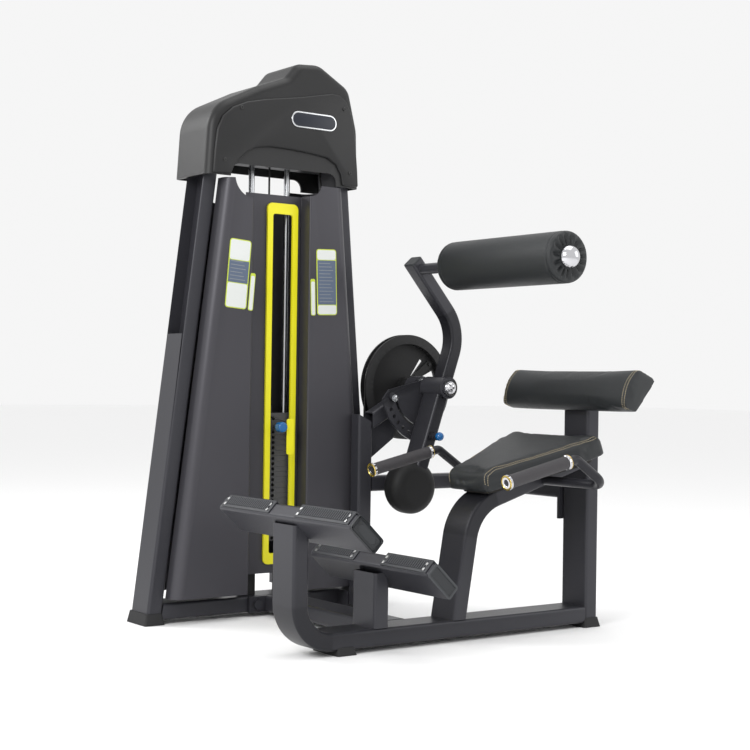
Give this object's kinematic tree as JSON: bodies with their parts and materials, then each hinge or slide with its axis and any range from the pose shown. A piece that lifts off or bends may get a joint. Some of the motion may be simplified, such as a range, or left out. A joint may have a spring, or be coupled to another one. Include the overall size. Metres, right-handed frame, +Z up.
{
  "type": "seated back extension machine",
  "caption": "Seated back extension gym machine: weight tower with cable drive, swinging roller arm, seat, lumbar pad, stepped foot bars and side grips.",
  "frame": {"origin": "on the floor under the middle of the whole machine's bounding box", "axes": "+Z up; +X from the foot bars to the lumbar pad; +Y from the seat to the weight tower"},
  "size_m": [1.1069, 1.0529, 1.6108],
  "materials": {
    "frame_paint": "fine textured powder coat, satin",
    "cast_disc": "matt black paint",
    "foot_rubber": "matt moulded rubber",
    "end_plastic": "moulded, ribbed where trodden",
    "zinc_screw": "bright zinc",
    "pad_vinyl": "grained vinyl, satin",
    "pad_board": "black plywood",
    "grip_rubber": "ribbed grip rubber",
    "gold_chrome": "polished, warm tint",
    "bright_steel": "ground and plated",
    "knob_blue": "gloss moulded",
    "stack_iron": "satin black paint",
    "tag_yellow": "gloss moulded",
    "bumper_rubber": "matt",
    "pulley_plastic": "moulded nylon",
    "cable_sheath": "smooth nylon sheath over steel cable",
    "shroud_paint": "textured powder coat, satin",
    "cap_plastic": "moulded, fine grain"
  },
  "bodies": {
    "frame": {"back_post": "frame_paint", "base_cross_tube": "frame_paint", "bearing_housing": "frame_paint", "drive_cable": "cable_sheath", "floor_feet": "foot_rubber", "foot_bar_caps": "end_plastic", "foot_bar_lower": "frame_paint", "foot_bar_post": "frame_paint", "foot_bar_upper": "frame_paint", "foot_treads": "end_plastic", "grip_rings": "gold_chrome", "guide_rods": "bright_steel", "handle_far": "frame_paint", "handle_grips": "grip_rubber", "handle_near": "frame_paint", "joint_plates": "frame_paint", "link_frame": "frame_paint", "lumbar_pad": "pad_vinyl", "mechanism_brace": "frame_paint", "mechanism_post": "frame_paint", "pad_boards": "pad_board", "pivot_bearings": "bright_steel", "pulley_brackets": "bright_steel", "seat_arch_tube": "frame_paint", "seat_base_tube": "frame_paint", "seat_pad": "pad_vinyl", "shroud_front_left": "shroud_paint", "shroud_front_right": "shroud_paint", "shroud_rear": "shroud_paint", "stack_bumpers": "bumper_rubber", "tower_base_tube": "frame_paint", "tower_cap": "cap_plastic", "tower_top_beam": "frame_paint", "tower_upright_front": "frame_paint", "tower_upright_rear": "frame_paint", "tread_screws": "zinc_screw", "weight_plates": "stack_iron", "window_bezel": "tag_yellow", "window_panel": "shroud_paint"},
    "press_arm": {"swing_arm": "frame_paint", "counterweight": "cast_disc", "arm_plug": "end_plastic", "sector_plate": "frame_paint", "cam_disc": "cast_disc", "pivot_shaft": "bright_steel", "cam_crossbar": "cast_disc", "pivot_cap": "gold_chrome", "roller_shaft": "bright_steel", "wound_cable": "cable_sheath"},
    "roller": {"roller_pad": "pad_vinyl", "roller_end_cap": "gold_chrome"},
    "start_pin": {"pop_pin": "knob_blue"},
    "lifted_stack": {"stack_head": "stack_iron", "selector_rod": "bright_steel", "stack_cable": "cable_sheath", "pin_lanyard": "tag_yellow"},
    "selector": {"selector_pin": "knob_blue", "pin_tag": "tag_yellow"},
    "top_wheel": {"top_pulley": "pulley_plastic"},
    "low_wheel": {"low_pulley": "pulley_plastic"}
  },
  "joints": [
    {"name": "press_arm_swing", "type": "hinge", "parent": "frame", "child": "press_arm", "pos_m": [0.325, 0, 0.667], "axis": [0, 1, 0], "range_deg": [0, 70]},
    {"name": "roller_spin", "type": "hinge", "parent": "press_arm", "child": "roller", "pos_m": [0.233, -0.222, 1.016], "axis": [0, 1, 0], "continuous": true},
    {"name": "start_pin_pull", "type": "slide", "parent": "press_arm", "child": "start_pin", "axis": [0, -1, 0], "range_m": [0, 0.016], "stiffness_N_per_m": 400, "springref_m": -0.004},
    {"name": "stack_lift", "type": "slide", "parent": "frame", "child": "lifted_stack", "axis": [0, 0, 1], "range_m": [0, 0.192], "deforming": ["stack_cable"]},
    {"name": "selector_pin_pull", "type": "slide", "parent": "lifted_stack", "child": "selector", "axis": [0, -1, 0], "range_m": [0, 0.06]},
    {"name": "top_pulley_spin", "type": "hinge", "parent": "frame", "child": "top_wheel", "pos_m": [-0.06, 0.426, 1.51], "axis": [0, 1, 0], "range_deg": [-5, 140]},
    {"name": "low_pulley_spin", "type": "hinge", "parent": "frame", "child": "low_wheel", "pos_m": [0.13, 0.362, 0.25], "axis": [0, 1, 0], "range_deg": [-275, 5]}
  ],
  "couplings": [
    {"joint": "stack_lift", "follows": "press_arm_swing", "m_per_rad": 0.155},
    {"joint": "top_pulley_spin", "follows": "press_arm_swing", "ratio": 1.9375},
    {"joint": "low_pulley_spin", "follows": "press_arm_swing", "ratio": -3.875}
  ]
}
